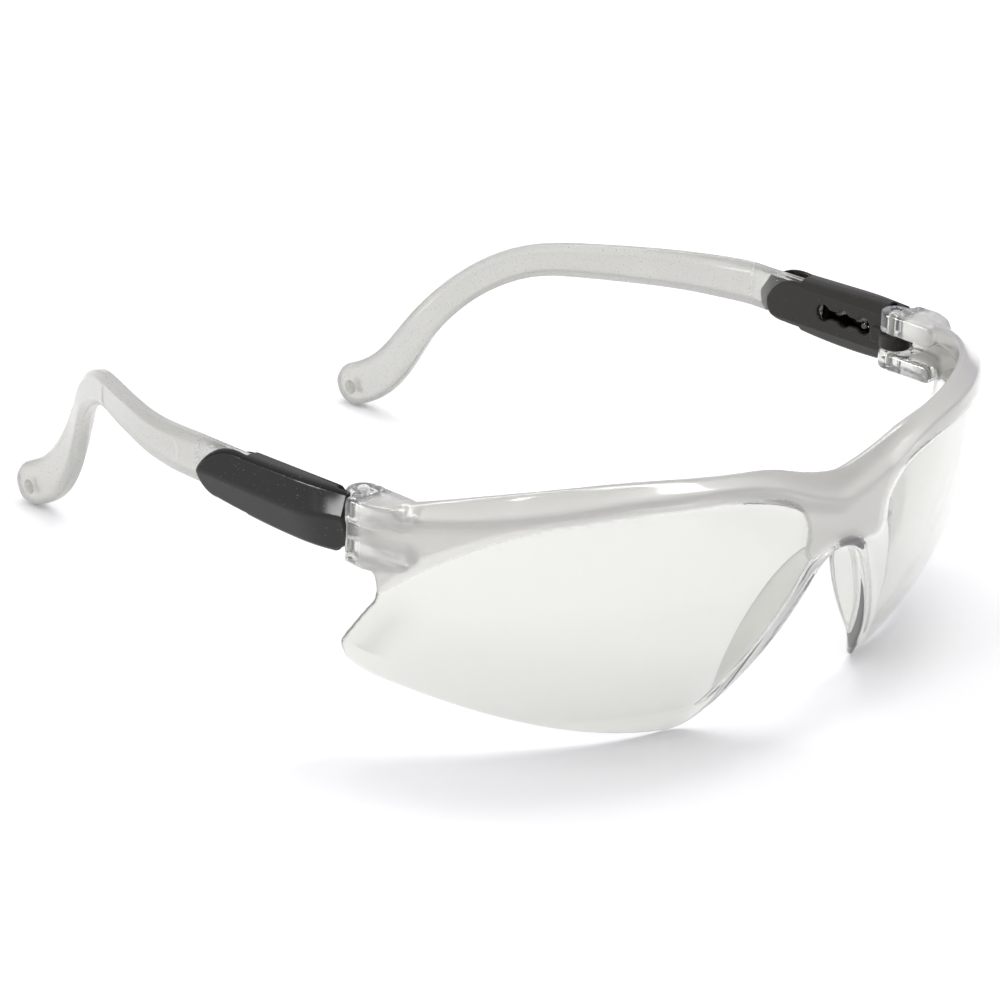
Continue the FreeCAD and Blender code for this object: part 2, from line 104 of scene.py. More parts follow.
def spline(knots, values):
    """The natural cubic curve through the values, as a function."""
    knots, values = np.array(knots, float), np.array(values, float)
    count, gap = len(knots), np.diff(knots)
    slope = np.diff(values, axis=0) / gap.reshape(-1, *[1] * (values.ndim - 1))
    matrix, right = np.eye(count), np.zeros_like(values)
    for n in range(1, count - 1):
        matrix[n, n - 1:n + 2] = gap[n - 1], 2 * (gap[n - 1] + gap[n]), gap[n]
        right[n] = 6 * (slope[n] - slope[n - 1])
    bend = np.linalg.solve(matrix, right)

    def curve(t):
        t = np.clip(t, knots[0], knots[-1])
        n = np.clip(np.searchsorted(knots, t, side="right") - 1, 0, count - 2)
        width = gap[n]
        a, b = (knots[n + 1] - t) / width, (t - knots[n]) / width
        if values.ndim > 1:
            a, b, width = a[..., None], b[..., None], width[..., None]
        pull = ((a ** 3 - a) * bend[n] + (b ** 3 - b) * bend[n + 1]) * width ** 2 / 6
        return a * values[n] + b * values[n + 1] + pull
    return curve


def inside(outline, u, v):
    """Distance to a closed outline, negative inside it."""
    u, v = np.broadcast_arrays(u, v)
    nearest = np.full(u.shape, np.inf)
    within = np.zeros(u.shape, bool)
    for (ax, ay), (bx, by) in zip(outline, outline[1:] + outline[:1]):
        ex, ey = bx - ax, by - ay
        along = np.clip(((u - ax) * ex + (v - ay) * ey) / (ex * ex + ey * ey), 0, 1)
        nearest = np.minimum(nearest, (u - ax - along * ex) ** 2 + (v - ay - along * ey) ** 2)
        if ey:
            within ^= ((ay > v) != (by > v)) & (u < ax + (v - ay) * ex / ey)
    return np.where(within, -1, 1) * np.sqrt(nearest)


def join(a, b, fillet=0.0):
    """The union of two distance fields, with a fillet along the seam."""
    if not fillet:
        return np.minimum(a, b)
    return np.minimum(a, b) - np.maximum(fillet - np.abs(a - b), 0) ** 2 / fillet / 4


def meet(a, b, rounding=0.0):
    """What two fields share, with a rounded edge."""
    return -join(-a, -b, rounding)


def slab(value, low, high):
    """Between two parallel planes."""
    return np.maximum(low - value, value - high)


def smooth_step(value, low, high):
    share = np.clip((value - low) / (high - low), 0, 1)
    return share * share * (3 - 2 * share)


def object_from(name, vertices, faces, sharp_angle=None):
    """A mesh object from millimetre points, moved into the frame."""
    points = np.array(vertices, float) * MM + np.array([0, FRONT, 0])
    mesh = bpy.data.meshes.new(name)
    mesh.from_pydata(points.tolist(), [], [list(map(int, face)) for face in faces])
    mesh.validate()
    mesh.shade_smooth()
    if sharp_angle:
        mesh.set_sharp_from_angle(angle=sharp_angle)
    piece = bpy.data.objects.new(name, mesh)
    bpy.context.scene.collection.objects.link(piece)
    return piece


# A field is sampled within a band of cells about its surface, then the mesh's points
# settle on the surface, along slopes taken over a small step.
BAND_CELLS = 3
SETTLING_ROUNDS = 3
SLOPE_STEP = 0.02
LEAST_SLOPE = 0.2


def moulded(name, field, low, high, pitch):
    """A smooth mesh of the surface where a distance field is zero."""
    axes = [np.arange(a, b + pitch, pitch) for a, b in zip(low, high)]
    x, y, z = np.meshgrid(*axes, indexing="ij", sparse=True)
    limit = BAND_CELLS * pitch
    values = np.clip(np.broadcast_to(field(x, y, z), [len(a) for a in axes]), -limit, limit)
    grid = openvdb.FloatGrid(limit)
    grid.copyFromArray(np.ascontiguousarray(values, np.float32))
    points, faces = grid.convertToQuads(0.0)
    points = points.astype(float) * pitch + np.array(low)
    for _ in range(SETTLING_ROUNDS):
        level = field(*points.T)
        slope = np.stack([field(*(points + offset).T) - field(*(points - offset).T)
                          for offset in np.eye(3) * SLOPE_STEP], -1) / (2 * SLOPE_STEP)
        size = np.maximum((slope ** 2).sum(-1), LEAST_SLOPE)
        move = np.clip(level / size, -pitch, pitch)
        points -= slope * move[:, None]
    return object_from(name, points, facing_out(points, faces))


def facing_out(points, faces):
    """The faces turned round, if need be, so that they enclose a positive volume."""
    a, b, c, d = (points[faces[:, n]] for n in range(4))
    volume = (a * (np.cross(b, c) + np.cross(c, d))).sum()
    return faces if volume > 0 else faces[:, ::-1]


def millimetres(piece):
    """A mesh's points back in this file's own millimetres."""
    points = np.empty(len(piece.data.vertices) * 3)
    piece.data.vertices.foreach_get("co", points)
    return (points.reshape(-1, 3) - [0, FRONT, 0]) / MM


def paint(piece, name, values):
    """Store one number per vertex for a material to read."""
    layer = piece.data.attributes.new(name, "FLOAT", "POINT")
    layer.data.foreach_set("value", np.asarray(values, np.float32))


# --------------------------------------------------------------------- lens shield

# The lens's face: a ball's radius, how far its centre is to each side, and its height.
BALL = 66.5
BALL_OFFSET = 9.7
BALL_HEIGHT = 41.4
# The lens thins from one thickness to the other over the taper, at its rear edges.
LENS_THICKNESS = 2.2
EDGE_THICKNESS = 0.7
TAPER = 7.0
HALF_WIDTH = 70.8
PLATE_END = 45.2
LUG_RADIUS = 2.9
LUGS = ((34.4, 37.9), (41.2, 45.4))
LUG_REACH = 10.9
# The nose arch: its radius, its centre's height, and its legs' splay in degrees.
NOSE_ARCH = (6.3, 24.9, 28.5)
NOSE_WALL = 1.9
BROW_DEPTH = 4.4
BROW_FACE = 2.6
BEVEL_DEPTH = 3.6
BROW_BACK_ROUNDING = 1.8
BROW_UNDER_ROUNDING = 1.2
# The brow's underside rises towards the back from this far behind the lens's face.
# Its scale, like those of the sleeve's faces, makes a leaning face's field a distance.
UNDERSIDE_START = 1.2
UNDERSIDE_SLOPE = 0.31
UNDERSIDE_SCALE = 0.95
BRIDGE_SOFTNESS = 1.8
# How far the frosted surface stands proud of the window, and how round edges are.
LIP = 0.1
EDGE = 0.6
BORE_SLACK = 0.02
FRONT_PITCH = 0.4
# The frost fades in outside the window and out towards the lugs and the nose arch.
WINDOW_FADE = 0.35
HINGE_FADE = (41.0, 43.5)
ARCH_FADE = 0.6
# How frosted the lens's cut rear rim is, below the hinge plate, and where it starts.
RIM_FROST = 0.7
RIM_FADE = (-0.5, -0.2)
RIM_TOP = 34.0
PLATE_BOTTOM = 34.4
PLATE_TOP = 44.4
PLATE_START = 37.0
PLATE_THICKNESS = 1.8
PLATE_ROUNDING = 0.4
# Pieces that are trimmed later first run this far past the trimming face.
BEYOND = 2.0

# Brow: angle round the ball (or millimetres short of it), crease and top heights.
BROW = [(-9.7, 39.7, 44.2), (-5.0, 41.1, 45.2), (0.0, 43.0, 46.6), (5.0, 45.4, 48.3),
        (12.0, 47.6, 49.3), (20.0, 48.1, 49.9), (30.0, 47.9, 50.3), (40.0, 46.6, 49.6),
        (50.0, 45.2, 48.2), (58.0, 44.3, 46.6), (66.0, 43.6, 45.1), (74.0, 43.2, 44.5)]
crease_at = spline([b[0] for b in BROW], [b[1] for b in BROW])
top_at = spline([b[0] for b in BROW], [b[2] for b in BROW])

# The lens from in front, half of it, and the front from the side.
LENS_FACE = trace(
    (-20, 2.6), (19.2, 2.6), ((21.4, 0.65), (24.4, 0.0)), ((45.2, 4.4), (64.4, 12.7)),
    ((67.9, 16.0), (69.9, 20.4)), (73.6, 24.0), (73.6, 42.2), (66.0, 43.6), (55.0, 45.2),
    (42.0, 46.6), (26.0, 47.2), (16.0, 45.2), (10.0, 42.2), (5.0, 40.2), (-20, 38.7))
SIDE_PROFILE = trace(
    (-5, -1), (48.6, -1), (47.9, 17.2), ((47.7, 19.1), (46.7, 20.6)), (40.6, 28.2),
    ((39.3, 31.1), (39.8, 34.2)), (PLATE_END, PLATE_BOTTOM), (PLATE_END, 52), (-5, 52))
# How far back the nose arch's flange reaches, from the side.
FLANGE_REACH = trace(
    (-5, 36), (-5, -2), (12.6, -2), (12.6, 0), ((13.4, 11.0), (11.2, 22.5)),
    ((8.9, 28.0), (5.8, 32.5)), (5.0, 36))
# The clear window's edge, outside which the front is frosted.
WINDOW = trace(
    (-20, 31.4), (7.9, 31.4), ((9.0, 32.2), (9.3, 34.1)), ((9.5, 37.4), (11.2, 40.6)),
    ((14.3, 43.1), (18.4, 44.5)), ((32.0, 45.7), (49.8, 44.4)),
    ((60.0, 40.9), (66.8, 34.5)), (69.1, 30.0), (74.0, 20.0), (74.0, -6.0), (-20, -6.0))


def nose_outline(grow):
    """A round arch on two splayed legs, grown all round."""
    radius, centre, splay = NOSE_ARCH[0] + grow, NOSE_ARCH[1], math.radians(NOSE_ARCH[2])
    shoulder = (radius * math.cos(splay), centre + radius * math.sin(splay))
    foot = (shoulder[0] + (shoulder[1] + 6) * math.tan(splay), -6.0)
    return trace((-foot[0], foot[1]), (-shoulder[0], shoulder[1]),
                 ((0.0, centre + radius), shoulder), foot)


NOSE_GAP = nose_outline(0.0)
NOSE_OUTSIDE = nose_outline(NOSE_WALL)


def brow_field(side, y, z):
    """The thick bar: a bevel above the crease, a chamfered back and underside."""
    side = np.hypot(side, BRIDGE_SOFTNESS)
    across = np.maximum(side - BALL_OFFSET, 0)
    station = np.where(side > BALL_OFFSET, np.degrees(np.arctan2(across, BALL - y)),
                       side - BALL_OFFSET)
    inward = BALL - np.hypot(across, BALL - y)
    crease, top = crease_at(station), top_at(station)
    rise = (top - crease) / BEVEL_DEPTH
    bevel = (z - crease - rise * inward) / np.sqrt(1 + rise ** 2)
    rear = inward - BROW_DEPTH
    under = crease - BROW_FACE + (inward - UNDERSIDE_START) * UNDERSIDE_SLOPE - z
    under = under * UNDERSIDE_SCALE
    return meet(meet(bevel, rear, BROW_BACK_ROUNDING), under, BROW_UNDER_ROUNDING)


def hinge_field(side, y, z):
    """Both lugs, their ribs and the flat plate behind them."""
    field = meet(slab(side, HALF_WIDTH - PLATE_THICKNESS, HALF_WIDTH + BEYOND),
                 meet(slab(z, PLATE_BOTTOM, PLATE_TOP), y - PLATE_END), PLATE_ROUNDING)
    field = meet(field, PLATE_START - y)
    pin = np.hypot(side - PIN_X, y - PIN_Y)
    for low, high in LUGS:
        middle, half = (low + high) / 2, (high - low) / 2
        front = PIN_Y - LUG_REACH + half
        bar = np.hypot(np.minimum(y - front, 0), z - middle) - half
        rib = meet(bar, slab(side, PIN_X - LUG_RADIUS, HALF_WIDTH + BEYOND), 0.8)
        rib = meet(rib, y - PLATE_END, PLATE_ROUNDING)
        barrel = meet(pin - LUG_RADIUS, slab(z, low, high), 0.9)
        field = join(field, join(rib, barrel, 0.5), 0.7)
    return field


def front_field(x, y, z):
    """The whole one-piece front."""
    side = np.abs(x)
    across = np.maximum(side - BALL_OFFSET, 0)
    ball = np.sqrt(across ** 2 + (y - BALL) ** 2 + (z - BALL_HEIGHT) ** 2)
    window = inside(WINDOW, side, z)
    profile = inside(SIDE_PROFILE, y, z)
    taper = smooth_step(-profile, 0, TAPER)
    thickness = EDGE_THICKNESS + (LENS_THICKNESS - EDGE_THICKNESS) * taper
    lens = meet(BALL - thickness - ball, inside(LENS_FACE, side, z), EDGE)
    sheet = join(lens, brow_field(side, y, z), 1.2)
    flange = meet(inside(NOSE_OUTSIDE, x, z), inside(FLANGE_REACH, y, z), 1.0)
    sheet = join(sheet, flange, 1.6)
    sheet = meet(sheet, profile, EDGE)
    body = join(sheet, hinge_field(side, y, z), 0.7)
    surface = ball - BALL + LIP * smooth_step(-window, 0.0, 0.3)
    body = meet(body, surface, 0.5)
    body = meet(body, side - HALF_WIDTH, 0.6)
    body = meet(body, -inside(NOSE_GAP, x, z), 0.9)
    bore = np.hypot(side - PIN_X, y - PIN_Y) - PIN_RADIUS - BORE_SLACK
    return meet(body, -np.maximum(bore, PIN_BOTTOM - z), 0.2)


def make_front():
    """The front's mesh, with its frosted places painted for the material."""
    piece = moulded("front_moulding", front_field, (-72.0, -1.0, -1.0), (72.0, 50.5, 51.6),
                    FRONT_PITCH * (1))
    points = millimetres(piece)
    side = np.abs(points[:, 0])
    window = inside(WINDOW, side, points[:, 2])
    frost = smooth_step(window, 0.0, WINDOW_FADE)
    frost *= 1 - smooth_step(points[:, 1], *HINGE_FADE)
    arch = inside(NOSE_OUTSIDE, points[:, 0], points[:, 2])
    frost *= smooth_step(arch, -ARCH_FADE, ARCH_FADE)
    rim = inside(SIDE_PROFILE, points[:, 1], points[:, 2])
    low_rim = smooth_step(rim, *RIM_FADE) * (points[:, 2] < RIM_TOP)
    frost = np.maximum(frost, RIM_FROST * low_rim)
    paint(piece, "frost", frost)
    return piece


# ------------------------------------------------------------------ temple sleeves

SLEEVE_IN = 66.0
SLEEVE_OUT = 71.4
SLEEVE_FRONT = 45.6
# The channel that the arm slides in.
CHANNEL = (66.8, 69.6)
CHANNEL_FRONT = 51.8
CHANNEL_SECTION = trace(
    (CHANNEL[0], 37.5), (67.5, 35.9), (68.9, 35.9), (CHANNEL[1], 37.5), (CHANNEL[1], 42.7),
    (68.9, 44.3), (67.5, 44.3), (CHANNEL[0], 42.7))
WALL_END = 70.0
SLOT_FRONT = 54.1
SLOT_HEIGHT = 39.9
SLOT_PITCH = 4.8
SLOT_LOBE = 1.55
SLOT_NECK = 0.85
GAP = 0.3
HINGE_TUCK = 0.8
HINGE_TWIST = 1.6
TWIST_RUN = 12.0
# The outer faces: where the broad and lower ones meet, how they lean in from there,
# and how high the chamfer above them would meet the sleeve's outermost plane.
CREASE_HEIGHT = 39.6
BROAD_TILT = 0.15
HINGE_TILT = 0.19
LOWER_TILT = 0.31
LOWER_SCALE = 1.05
CHAMFER_HEIGHT = 44.4
CHAMFER_SCALE = 0.71
KNUCKLE_SLACK = 0.05
SLEEVE_PITCH = 0.17


def cheek(tip):
    """Side view of one cheek, square at the hinge and a round lobe at the rear."""
    return trace(
        (SLEEVE_FRONT, 38.2), (SLEEVE_FRONT, 45.7), (70.5, 44.9),
        ((tip - 3.2, 43.0), (tip, 39.2)), ((tip - 0.8, 36.5), (tip - 4.4, 34.9)),
        ((62.0, 33.7), (SLEEVE_FRONT + 4.4, 34.0)),
        ((SLEEVE_FRONT + 1.4, 35.2), (SLEEVE_FRONT, 38.2)))


OUTER_CHEEK = cheek(81.4)
INNER_CHEEK = cheek(78.0)
INNER_FACES = trace(
    (SLEEVE_IN + 1.9, 33.2), (SLEEVE_IN, 36.3), (SLEEVE_IN, 43.2), (SLEEVE_IN + 1.7, 45.7),
    (SLEEVE_OUT, 46.4), (80.0, 46.4), (80.0, 33.2))


def slot_field(y, z):
    """Three round lobes joined by a narrow neck."""
    neck = np.maximum(np.abs(z - SLOT_HEIGHT) - SLOT_NECK,
                      np.abs(y - SLOT_FRONT - SLOT_PITCH) - SLOT_PITCH)
    for number in range(3):
        lobe = np.hypot(y - SLOT_FRONT - number * SLOT_PITCH, z - SLOT_HEIGHT) - SLOT_LOBE
        neck = join(neck, lobe, 0.2)
    return neck


def outer_faces(x, y, z):
    """Three long faces on the outside, tucked in and twisted towards the hinge."""
    near = 1 - smooth_step(y, SLEEVE_FRONT - 1.0, SLEEVE_FRONT + TWIST_RUN)
    out = SLEEVE_OUT - HINGE_TUCK * near ** 2
    crease = CREASE_HEIGHT + HINGE_TWIST * near
    tilt = BROAD_TILT + HINGE_TILT * near
    broad = (x - out + (z - crease) * tilt) / np.sqrt(1 + tilt ** 2)
    lower = (x - out + (crease - z) * LOWER_TILT) / LOWER_SCALE
    upper = (x - out + z - CHAMFER_HEIGHT) * CHAMFER_SCALE
    return meet(meet(broad, lower, 0.3), upper, 0.6)


def sleeve_field(x, y, z):
    """One black sleeve with its hollow, slot and hinge knuckle."""
    middle = sum(CHANNEL) / 2
    cheeks = join(meet(inside(OUTER_CHEEK, y, z), middle - x),
                  meet(inside(INNER_CHEEK, y, z), x - middle))
    block = meet(cheeks, meet(inside(INNER_FACES, x, z), outer_faces(x, y, z), 0.8), 0.9)
    channel = meet(inside(CHANNEL_SECTION, x, z), CHANNEL_FRONT - y)
    mouth = meet(slab(x, *CHANNEL), WALL_END - y)
    hollow = join(channel, mouth)
    hollow = join(hollow, meet(slot_field(y, z), x - CHANNEL[0] - GAP))
    pin = np.hypot(x - PIN_X, y - PIN_Y)
    room = LUG_RADIUS + GAP / 2
    hollow = join(hollow, pin - room)
    hollow = join(hollow, meet(x - PIN_X - room, y - PIN_Y - room, 0.3))
    shell = meet(block, -hollow, 0.35)
    low, high = LUGS[0][1] + GAP, LUGS[1][0] - GAP
    knuckle = meet(pin - LUG_RADIUS, slab(z, low, high), 0.5)
    root = meet(slab(x, PIN_X - LUG_RADIUS + 2, PIN_X + LUG_RADIUS),
                meet(slab(y, PIN_Y, CHANNEL_FRONT - GAP), slab(z, low, high)), 0.4)
    solid = join(shell, join(knuckle, root, 0.4), 0.4)
    return meet(solid, PIN_RADIUS + KNUCKLE_SLACK - pin, 0.2)


def make_sleeve():
    """The left sleeve's mesh, with its satin inside painted for the material."""
    piece = moulded("left_sleeve_shell", sleeve_field, (62.2, 42.6, 32.9), (72.0, 82.0, 46.6),
                    SLEEVE_PITCH * (1))
    points = millimetres(piece)
    paint(piece, "satin", 1 - smooth_step(points[:, 0], CHANNEL[0] + 0.6, CHANNEL[1]))
    return piece


# -------------------------------------------------------------------- temple arms

# The arm from its front end to its tip: across, back, up, height and thickness.
ARM = [
    (68.2, 52.4, 40.1, 8.2, 2.6), (68.2, 68.0, 40.1, 8.2, 2.6), (68.2, 83.0, 40.1, 8.2, 2.6),
    (67.5, 90.0, 39.7, 7.9, 2.9), (65.6, 98.5, 39.2, 7.4, 3.1), (62.0, 108.0, 38.6, 7.0, 3.3),
    (58.0, 117.0, 37.9, 6.6, 3.4), (53.4, 126.6, 36.4, 6.2, 3.4),
    (50.0, 133.5, 33.2, 6.1, 3.4), (47.2, 138.6, 29.3, 6.0, 3.4),
    (44.8, 142.6, 25.0, 6.1, 3.5), (43.1, 146.0, 20.4, 6.3, 3.6),
    (41.9, 150.0, 14.2, 7.1, 3.8), (41.2, 154.2, 9.1, 8.0, 4.0),
    (40.8, 158.0, 6.2, 8.5, 4.1), (40.6, 161.9, 4.3, 8.5, 4.1),
]
STRAIGHT_RINGS = 12
CURVED_RINGS = 260
BULB_RINGS = 15
BULB_RADIUS = 4.25
BULB_ROUNDING = 1.5
BULB_THINNING = 0.8
# Between these places the eight-sided section turns into the tip's rounded one.
TIP_BLEND = (147.0, 158.0)
# The cord hole: back, up, radius.  Its rims widen by the flare.
CORD_HOLE = (161.7, 3.9, 1.0)
CORD_FLARE = 0.5
# The recess in the arm behind the slot: its floor and mouth, ends and heights.
GROOVE = (66.0, 68.5)
GROOVE_ENDS = (53.0, 66.0)
GROOVE_HEIGHT = (37.9, 41.9)
PEG_RADIUS = 0.75
PEG_LENGTH = 2.5
# The arm turns from clear to frosted here, where it leaves the sleeve.
FROST_START = (76.0, 84.0)
# The sunk panel: start, end, half its height, depth.  Its edge slopes.
PANEL = (88.0, 121.0, 2.0, 0.16)
PANEL_EDGE = 0.15
# The arm's section, as shares of half its height and thickness.
FLAT_HEIGHT = 0.58
FLAT_WIDTH = 0.45
CORNER_CUT = 0.12
TIP_POWER = 3.2


def arm_profile():
    """A tall eight-sided section with its corners rounded, in half-sizes."""
    corners = [(1, -FLAT_HEIGHT), (1, FLAT_HEIGHT), (FLAT_WIDTH, 1), (-FLAT_WIDTH, 1),
               (-1, FLAT_HEIGHT), (-1, -FLAT_HEIGHT), (-FLAT_WIDTH, -1), (FLAT_WIDTH, -1)]
    points = []
    for number, corner in enumerate(corners):
        before, after = Vector(corners[number - 1]), Vector(corners[(number + 1) % 8])
        corner = Vector(corner)
        first, last = corner.lerp(before, CORNER_CUT), corner.lerp(after, CORNER_CUT)
        for share in (0, 0.5, 1):
            points.append(first.lerp(corner, share).lerp(corner.lerp(last, share), share))
        finish = after.lerp(corner, CORNER_CUT)
        pieces = 9 if number in (0, 4) else 4
        points += [last.lerp(finish, n / pieces) for n in range(1, pieces)]
    return np.array(points)


def round_profile(profile):
    """The same points pushed onto a rounded rectangle, for the tip."""
    reach = (np.abs(profile) ** TIP_POWER).sum(-1) ** (1 / TIP_POWER)
    return profile / reach[:, None]


def panel_depth(back, rise):
    """How deep the round-ended panel is at a place on the arm's outer face."""
    start, end, half, depth = PANEL
    past_end = np.maximum(abs(back - (start + end) / 2) - (end - start) / 2 + half, 0)
    reach = np.hypot(past_end, rise)
    return depth * (1 - smooth_step(reach, half - PANEL_EDGE, half + PANEL_EDGE))


def arm_rows():
    """Place, height and thickness along the arm, straight in the sleeve, then curved."""
    stations = np.array(ARM)
    steps = np.linalg.norm(np.diff(stations[:, :3], axis=0), axis=1)
    lengths = np.concatenate([[0], np.cumsum(steps)])
    run = spline(lengths, stations)
    straight = lengths[2]
    spots = np.concatenate([np.linspace(0, straight, STRAIGHT_RINGS),
                            np.linspace(straight, lengths[-1], CURVED_RINGS)[1:]])
    rows = run(spots)
    rows[spots <= straight] = stations[0] * [1, 0, 1, 1, 1] + np.outer(
        spots[spots <= straight] + stations[0, 1], [0, 1, 0, 0, 0])
    return rows


def make_arm():
    """The arm's bar, with its sunk panel outside and a bulb at its tip."""
    rows = arm_rows()
    ahead = np.gradient(rows[:, :3], axis=0)
    ahead /= np.linalg.norm(ahead, axis=1)[:, None]
    profile = arm_profile()
    soft = round_profile(profile)
    sections = []
    tip = len(rows) - 1
    turns = np.linspace(0, math.pi / 2, BULB_RINGS)[1:-1]
    cap = [(0.0, 1.0)] + [(math.sin(turn), math.cos(turn)) for turn in turns]
    rings = [(n, 0.0, 1.0) for n in range(tip)] + [(tip, push, share) for push, share in cap]
    for n, push, share in rings:
        centre, (height, thickness), forward = rows[n, :3], rows[n, 3:], ahead[n]
        aside = np.cross(forward, [0, 0, 1])
        aside /= np.linalg.norm(aside)
        up = np.cross(aside, forward)
        past = push * BULB_RADIUS
        over = max(past - BULB_RADIUS + BULB_ROUNDING, 0) / BULB_ROUNDING
        drop = 1 - math.sqrt(max(1 - over * over, 0))
        thin = thickness / 2 - BULB_ROUNDING * BULB_THINNING * drop
        blend = smooth_step(rows[n, 1], *TIP_BLEND)
        shape = profile * (1 - blend) + soft * blend
        out, rise = shape[:, 0] * thin, shape[:, 1] * height / 2 * share
        out = np.where(shape[:, 0] > 0.97, out - panel_depth(rows[n, 1], rise), out)
        sections.append(centre + forward * past + np.outer(out, aside) + np.outer(rise, up))
    return loft("left_arm_bar", sections)


def loft(name, sections):
    """A closed skin over rings of points."""
    rings = len(sections)
    count = len(sections[0])
    faces = []
    for ring in range(rings - 1):
        for n in range(count):
            after = (n + 1) % count
            faces.append((ring * count + n, ring * count + after,
                          (ring + 1) * count + after, (ring + 1) * count + n))
    faces.append(list(range(count))[::-1])
    faces.append([(rings - 1) * count + n for n in range(count)])
    return object_from(name, np.concatenate(sections), faces, SHARP_ANGLE)


def turned(name, centre, axis, profile, segments=48):
    """A turned piece: rings of (radius, place along the axis)."""
    axis = np.array(axis, float)
    aside = np.array([0, 1, 0]) if axis[2] else np.array([0, 0, 1])
    other = np.cross(axis, aside)
    rings = []
    for radius, along in profile:
        angles = np.linspace(0, math.tau, segments, endpoint=False)
        rings.append(np.array(centre) + axis * along
                     + radius * (np.outer(np.cos(angles), aside) + np.outer(np.sin(angles), other)))
    return loft(name, rings)


def boolean(piece, tool, operation):
    """Cut or add another closed mesh, and keep only the result."""
    modifier = piece.modifiers.new("joint", "BOOLEAN")
    modifier.operation = operation
    modifier.solver = "EXACT"
    modifier.object = tool
    graph = bpy.context.evaluated_depsgraph_get()
    result = bpy.data.meshes.new_from_object(piece.evaluated_get(graph))
    piece.modifiers.clear()
    old, piece.data = piece.data, result
    bpy.data.meshes.remove(old)
    bpy.data.objects.remove(tool)
    piece.data.set_sharp_from_angle(angle=SHARP_ANGLE)


def finish_arm(piece):
    """The cord hole through the tip, and the recess and peg on the inner face."""
    across = ARM[-1][0]
    back, up, radius = CORD_HOLE
    flare = radius + CORD_FLARE
    drill = turned("drill", (across, back, up), (1, 0, 0),
                   [(flare + 1, -3.6), (flare, -2.1), (radius, -1.5), (radius, 1.5),
                    (flare, 2.1), (flare + 1, 3.6)])
    boolean(piece, drill, "DIFFERENCE")
    groove = [[(GROOVE[0], back, up) for up in GROOVE_HEIGHT] +
              [(GROOVE[1], back, up) for up in reversed(GROOVE_HEIGHT)] for back in GROOVE_ENDS]
    boolean(piece, loft("groove", groove), "DIFFERENCE")
    peg = turned("peg", (SLEEVE_IN + GAP, SLOT_FRONT, SLOT_HEIGHT), (1, 0, 0),
                 [(0.4, 0.0), (0.62, 0.08), (0.73, 0.3), (PEG_RADIUS, 0.6),
                  (PEG_RADIUS, PEG_LENGTH)])
    boolean(piece, peg, "UNION")
    paint(piece, "frost", smooth_step(millimetres(piece)[:, 1], *FROST_START))


def mirrored(piece, name):
    """The same piece for the wearer's right side."""
    mesh = piece.data.copy()
    mesh.transform(Matrix.Diagonal((-1, 1, 1, 1)))
    mesh.flip_normals()
    other = bpy.data.objects.new(name, mesh)
    bpy.context.scene.collection.objects.link(other)
    return other


def make_pin(name):
    ends = [(0.55, 0.0), (0.8, 0.07), (0.93, 0.2), (PIN_RADIUS, 0.42)]
    length = PIN_TOP - PIN_BOTTOM
    profile = ends + [(PIN_RADIUS, length * n / 6) for n in range(1, 6)]
    profile += [(radius, length - along) for radius, along in reversed(ends)]
    return turned(name, (PIN_X, PIN_Y, PIN_BOTTOM), (0, 0, 1), profile)


# ------------------------------------------------------------------------ materials

def new_material(name):
    material = bpy.data.materials.new(name)
    material.use_nodes = True
    nodes = material.node_tree.nodes
    return material, nodes, material.node_tree.links, nodes["Principled BSDF"]


def set_sockets(node, **values):
    """Set sockets by name, with underscores for spaces."""
    for key, value in values.items():
        node.inputs[key.replace("_", " ")].default_value = value
    return node


def noise_of(nodes, links, size_mm, detail=2.0):
    """Noise in the object's own space with features about this large."""
    place = nodes.new("ShaderNodeTexCoord")
    noise = nodes.new("ShaderNodeTexNoise")
    set_sockets(noise, Scale=1 / (size_mm * MM), Detail=detail)
    links.new(place.outputs["Object"], noise.inputs["Vector"])
    return noise.outputs["Fac"]


def attribute_of(nodes, name):
    reader = nodes.new("ShaderNodeAttribute")
    reader.attribute_name = name
    return reader.outputs["Fac"]


def mapped(nodes, links, source, low, high, start=0.0, end=1.0):
    """A number remapped from one range to another."""
    remap = nodes.new("ShaderNodeMapRange")
    set_sockets(remap, From_Min=start, From_Max=end, To_Min=low, To_Max=high)
    links.new(source, remap.inputs["Value"])
    return remap.outputs["Result"]


def math_of(nodes, links, operation, first, second):
    node = nodes.new("ShaderNodeMath")
    node.operation = operation
    for socket, value in zip(node.inputs, (first, second)):
        if isinstance(value, (int, float)):
            socket.default_value = value
        else:
            links.new(value, socket)
    return node.outputs["Value"]


def colour_mix(nodes, links, share, first, second):
    """A blend of two colours, the first of which may be another node's."""
    node = nodes.new("ShaderNodeMix")
    node.data_type = "RGBA"
    links.new(share, node.inputs["Factor"])
    if isinstance(first, bpy.types.NodeSocket):
        links.new(first, node.inputs[6])
    else:
        node.inputs[6].default_value = (*first, 1)
    node.inputs[7].default_value = (*second, 1)
    return node.outputs[2]


def bump_of(nodes, links, height, strength, distance_mm):
    node = nodes.new("ShaderNodeBump")
    node.inputs["Distance"].default_value = distance_mm * MM
    if isinstance(strength, float):
        node.inputs["Strength"].default_value = strength
    else:
        links.new(strength, node.inputs["Strength"])
    links.new(height, node.inputs["Height"])
    return node.outputs["Normal"]


CLEAR = (0.705, 0.712, 0.668)
FROSTED = (0.65, 0.645, 0.60)
ARM_COLOUR = (0.67, 0.67, 0.63)
ARM_SHADE = 0.97
GLOSSY_BLACK = (0.006, 0.006, 0.005)
SATIN_BLACK = (0.02, 0.0185, 0.016)
DUST = (0.12, 0.12, 0.11)
DARK_STEEL = (0.5, 0.5, 0.5)
LIGHT_STEEL = (0.64, 0.63, 0.62)
# Noise cells per metre: long round the pin, fine along it.
STEEL_GRAIN = (300, 300, 9000)
FLOOR_DARK = (0.94, 0.94, 0.94)
FLOOR_LIGHT = (0.95, 0.95, 0.95)


